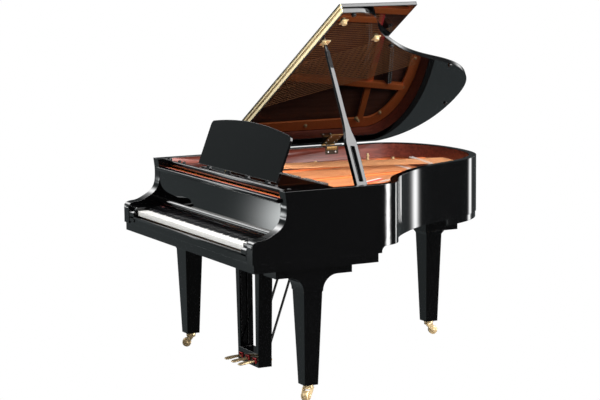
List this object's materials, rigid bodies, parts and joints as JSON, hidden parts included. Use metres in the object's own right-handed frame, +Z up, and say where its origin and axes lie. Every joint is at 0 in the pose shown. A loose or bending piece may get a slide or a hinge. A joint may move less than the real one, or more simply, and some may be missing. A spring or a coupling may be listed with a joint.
{
  "type": "grand piano",
  "caption": "Polished black grand piano with its lid open on the long prop, music desk raised and keyboard bare",
  "frame": {"origin": "on the floor under the middle of the whole part's plan box", "axes": "+X to the treble side, +Y to the tail, +Z up"},
  "size_m": [1.513, 1.713, 1.7975],
  "materials": {
    "black_lacquer": "polished",
    "case_wood": "satin",
    "spruce": "satin",
    "gold_plate": "satin",
    "steel_wire": "bright",
    "copper_wire": "satin",
    "felt": "matte",
    "white_tops": "polished",
    "black_tops": "satin",
    "brass": "polished"
  },
  "bodies": {
    "case": {"rim": "black_lacquer", "inner_rim": "case_wood", "back_posts": "case_wood", "keybed": "case_wood", "key_slip": "black_lacquer", "key_blocks": "black_lacquer", "soundboard": "spruce", "pinblock": "case_wood", "iron_plate": "gold_plate", "tuning_pins": "steel_wire", "bass_strings": "copper_wire", "treble_strings": "steel_wire", "lid_hinges_rim": "brass", "prop_bracket": "brass", "bass_leg": "black_lacquer", "treble_leg": "black_lacquer", "tail_leg": "black_lacquer", "caster_cups": "brass", "pedal_lyre": "black_lacquer", "lyre_braces": "brass"},
    "lid_body": {"lid": "black_lacquer", "flap_hinge_lid": "brass", "lid_hinges_lid": "brass", "prop_cup": "brass"},
    "flap_body": {"lid_flap": "black_lacquer", "flap_hinge_flap": "brass"},
    "fallboard_body": {"fallboard": "black_lacquer"},
    "shelf_body": {"music_shelf": "black_lacquer"},
    "desk_body": {"music_desk": "black_lacquer"},
    "prop_body": {"lid_prop": "black_lacquer"},
    "short_prop_body": {"short_prop": "black_lacquer"},
    "action_body": {"key_frame": "case_wood", "hammers": "felt"},
    "damper_body": {"dampers": "felt"},
    "white_keys_body": {"white_keys": "white_tops"},
    "black_keys_body": {"black_keys": "black_tops"},
    "key_c_body": {"key_c": "white_tops"},
    "key_c_sharp_body": {"key_c_sharp": "black_tops"},
    "key_d_body": {"key_d": "white_tops"},
    "key_d_sharp_body": {"key_d_sharp": "black_tops"},
    "key_e_body": {"key_e": "white_tops"},
    "key_f_body": {"key_f": "white_tops"},
    "key_f_sharp_body": {"key_f_sharp": "black_tops"},
    "key_g_body": {"key_g": "white_tops"},
    "key_g_sharp_body": {"key_g_sharp": "black_tops"},
    "key_a_body": {"key_a": "white_tops"},
    "key_a_sharp_body": {"key_a_sharp": "black_tops"},
    "key_b_body": {"key_b": "white_tops"},
    "soft_pedal_body": {"soft_pedal": "brass"},
    "soft_rod_body": {"soft_rod": "brass"},
    "sostenuto_pedal_body": {"sostenuto_pedal": "brass"},
    "sostenuto_rod_body": {"sostenuto_rod": "brass"},
    "damper_pedal_body": {"damper_pedal": "brass"},
    "damper_rod_body": {"damper_rod": "brass"},
    "bass_fork_body": {"bass_caster_fork": "brass"},
    "bass_wheel_body": {"bass_caster_wheel": "brass"},
    "treble_fork_body": {"treble_caster_fork": "brass"},
    "treble_wheel_body": {"treble_caster_wheel": "brass"},
    "tail_fork_body": {"tail_caster_fork": "brass"},
    "tail_wheel_body": {"tail_caster_wheel": "brass"}
  },
  "joints": [
    {"name": "lid_hinge", "type": "hinge", "parent": "case", "child": "lid_body", "pos_m": [-0.7507, 0, 0.9855], "axis": [0, -1, 0], "range_deg": [0, 8]},
    {"name": "flap_fold", "type": "hinge", "parent": "lid_body", "child": "flap_body", "pos_m": [-0.12063, -0.281, 1.39463], "axis": [0.859, 0, 0.512], "range_deg": [0, 150]},
    {"name": "fallboard_close", "type": "hinge", "parent": "case", "child": "fallboard_body", "pos_m": [0, -0.679, 0.768], "axis": [1, 0, 0], "range_deg": [0, 88]},
    {"name": "shelf_slide", "type": "slide", "parent": "case", "child": "shelf_body", "axis": [0, 1, 0], "range_m": [-0.05, 0]},
    {"name": "desk_fold", "type": "hinge", "parent": "shelf_body", "child": "desk_body", "pos_m": [0, -0.566, 0.962], "axis": [1, 0, 0], "range_deg": [-69, 0]},
    {"name": "prop_fold", "type": "hinge", "parent": "case", "child": "prop_body", "pos_m": [0.676, -0.261, 0.955], "axis": [-0.7401, -0.5182, -0.4287], "range_deg": [0, 55]},
    {"name": "short_prop_swing", "type": "hinge", "parent": "prop_body", "child": "short_prop_body", "pos_m": [0.64955, -0.25958, 0.99894], "axis": [0.4319, -0.8548, 0.2877], "range_deg": [0, 30]},
    {"name": "action_shift", "type": "slide", "parent": "case", "child": "action_body", "axis": [1, 0, 0], "range_m": [0, 0.0025]},
    {"name": "damper_lift", "type": "slide", "parent": "case", "child": "damper_body", "axis": [0, 0, 1], "range_m": [0, 0.0062]},
    {"name": "white_keys_press", "type": "hinge", "parent": "action_body", "child": "white_keys_body", "pos_m": [0, -0.606, 0.7077], "axis": [1, 0, 0], "range_deg": [0, 2.5], "stiffness_Nm_per_rad": 22, "springref_deg": -17.19},
    {"name": "black_keys_press", "type": "hinge", "parent": "action_body", "child": "black_keys_body", "pos_m": [0, -0.606, 0.7077], "axis": [1, 0, 0], "range_deg": [0, 2.5], "stiffness_Nm_per_rad": 15, "springref_deg": -17.19},
    {"name": "key_c_press", "type": "hinge", "parent": "action_body", "child": "key_c_body", "pos_m": [0, -0.606, 0.7077], "axis": [1, 0, 0], "range_deg": [0, 2.5], "stiffness_Nm_per_rad": 0.5, "springref_deg": -17.19},
    {"name": "key_c_sharp_press", "type": "hinge", "parent": "action_body", "child": "key_c_sharp_body", "pos_m": [0, -0.606, 0.7077], "axis": [1, 0, 0], "range_deg": [0, 2.5], "stiffness_Nm_per_rad": 0.5, "springref_deg": -17.19},
    {"name": "key_d_press", "type": "hinge", "parent": "action_body", "child": "key_d_body", "pos_m": [0, -0.606, 0.7077], "axis": [1, 0, 0], "range_deg": [0, 2.5], "stiffness_Nm_per_rad": 0.5, "springref_deg": -17.19},
    {"name": "key_d_sharp_press", "type": "hinge", "parent": "action_body", "child": "key_d_sharp_body", "pos_m": [0, -0.606, 0.7077], "axis": [1, 0, 0], "range_deg": [0, 2.5], "stiffness_Nm_per_rad": 0.5, "springref_deg": -17.19},
    {"name": "key_e_press", "type": "hinge", "parent": "action_body", "child": "key_e_body", "pos_m": [0, -0.606, 0.7077], "axis": [1, 0, 0], "range_deg": [0, 2.5], "stiffness_Nm_per_rad": 0.5, "springref_deg": -17.19},
    {"name": "key_f_press", "type": "hinge", "parent": "action_body", "child": "key_f_body", "pos_m": [0, -0.606, 0.7077], "axis": [1, 0, 0], "range_deg": [0, 2.5], "stiffness_Nm_per_rad": 0.5, "springref_deg": -17.19},
    {"name": "key_f_sharp_press", "type": "hinge", "parent": "action_body", "child": "key_f_sharp_body", "pos_m": [0, -0.606, 0.7077], "axis": [1, 0, 0], "range_deg": [0, 2.5], "stiffness_Nm_per_rad": 0.5, "springref_deg": -17.19},
    {"name": "key_g_press", "type": "hinge", "parent": "action_body", "child": "key_g_body", "pos_m": [0, -0.606, 0.7077], "axis": [1, 0, 0], "range_deg": [0, 2.5], "stiffness_Nm_per_rad": 0.5, "springref_deg": -17.19},
    {"name": "key_g_sharp_press", "type": "hinge", "parent": "action_body", "child": "key_g_sharp_body", "pos_m": [0, -0.606, 0.7077], "axis": [1, 0, 0], "range_deg": [0, 2.5], "stiffness_Nm_per_rad": 0.5, "springref_deg": -17.19},
    {"name": "key_a_press", "type": "hinge", "parent": "action_body", "child": "key_a_body", "pos_m": [0, -0.606, 0.7077], "axis": [1, 0, 0], "range_deg": [0, 2.5], "stiffness_Nm_per_rad": 0.5, "springref_deg": -17.19},
    {"name": "key_a_sharp_press", "type": "hinge", "parent": "action_body", "child": "key_a_sharp_body", "pos_m": [0, -0.606, 0.7077], "axis": [1, 0, 0], "range_deg": [0, 2.5], "stiffness_Nm_per_rad": 0.5, "springref_deg": -17.19},
    {"name": "key_b_press", "type": "hinge", "parent": "action_body", "child": "key_b_body", "pos_m": [0, -0.606, 0.7077], "axis": [1, 0, 0], "range_deg": [0, 2.5], "stiffness_Nm_per_rad": 0.5, "springref_deg": -17.19},
    {"name": "soft_pedal_press", "type": "hinge", "parent": "case", "child": "soft_pedal_body", "pos_m": [-0.075, -0.481, 0.064], "axis": [1, 0, 0], "range_deg": [0, 8], "stiffness_Nm_per_rad": 10, "springref_deg": -8.59},
    {"name": "soft_rod_lift", "type": "slide", "parent": "case", "child": "soft_rod_body", "axis": [0, 0, 1], "range_m": [0, 0.0055]},
    {"name": "sostenuto_pedal_press", "type": "hinge", "parent": "case", "child": "sostenuto_pedal_body", "pos_m": [0, -0.481, 0.064], "axis": [1, 0, 0], "range_deg": [0, 8], "stiffness_Nm_per_rad": 10, "springref_deg": -8.59},
    {"name": "sostenuto_rod_lift", "type": "slide", "parent": "case", "child": "sostenuto_rod_body", "axis": [0, 0, 1], "range_m": [0, 0.0055]},
    {"name": "damper_pedal_press", "type": "hinge", "parent": "case", "child": "damper_pedal_body", "pos_m": [0.075, -0.481, 0.064], "axis": [1, 0, 0], "range_deg": [0, 8], "stiffness_Nm_per_rad": 10, "springref_deg": -8.59},
    {"name": "damper_rod_lift", "type": "slide", "parent": "case", "child": "damper_rod_body", "axis": [0, 0, 1], "range_m": [0, 0.0055]},
    {"name": "bass_caster_swivel", "type": "hinge", "parent": "case", "child": "bass_fork_body", "pos_m": [-0.655, -0.537, 0.06], "axis": [0, 0, 1], "continuous": true},
    {"name": "bass_wheel_roll", "type": "hinge", "parent": "bass_fork_body", "child": "bass_wheel_body", "pos_m": [-0.66499, -0.5566, 0.023], "axis": [0.891, -0.454, 0], "continuous": true},
    {"name": "treble_caster_swivel", "type": "hinge", "parent": "case", "child": "treble_fork_body", "pos_m": [0.655, -0.537, 0.06], "axis": [0, 0, 1], "continuous": true},
    {"name": "treble_wheel_roll", "type": "hinge", "parent": "treble_fork_body", "child": "treble_wheel_body", "pos_m": [0.66762, -0.55502, 0.023], "axis": [0.8192, 0.5736, 0], "continuous": true},
    {"name": "tail_caster_swivel", "type": "hinge", "parent": "case", "child": "tail_fork_body", "pos_m": [-0.30619, 0.684, 0.06], "axis": [0, 0, 1], "continuous": true},
    {"name": "tail_wheel_roll", "type": "hinge", "parent": "tail_fork_body", "child": "tail_wheel_body", "pos_m": [-0.3005, 0.70525, 0.023], "axis": [-0.9659, 0.2588, 0], "continuous": true}
  ],
  "couplings": [
    {"joint": "sostenuto_rod_lift", "follows": "sostenuto_pedal_press", "m_per_rad": 0.038},
    {"joint": "damper_rod_lift", "follows": "damper_pedal_press", "m_per_rad": 0.038},
    {"joint": "soft_pedal_press", "follows": "action_shift", "rad_per_m": 55.556},
    {"joint": "soft_rod_lift", "follows": "action_shift", "ratio": 2.1111},
    {"joint": "damper_lift", "follows": "damper_pedal_press", "m_per_rad": 0.043}
  ]
}
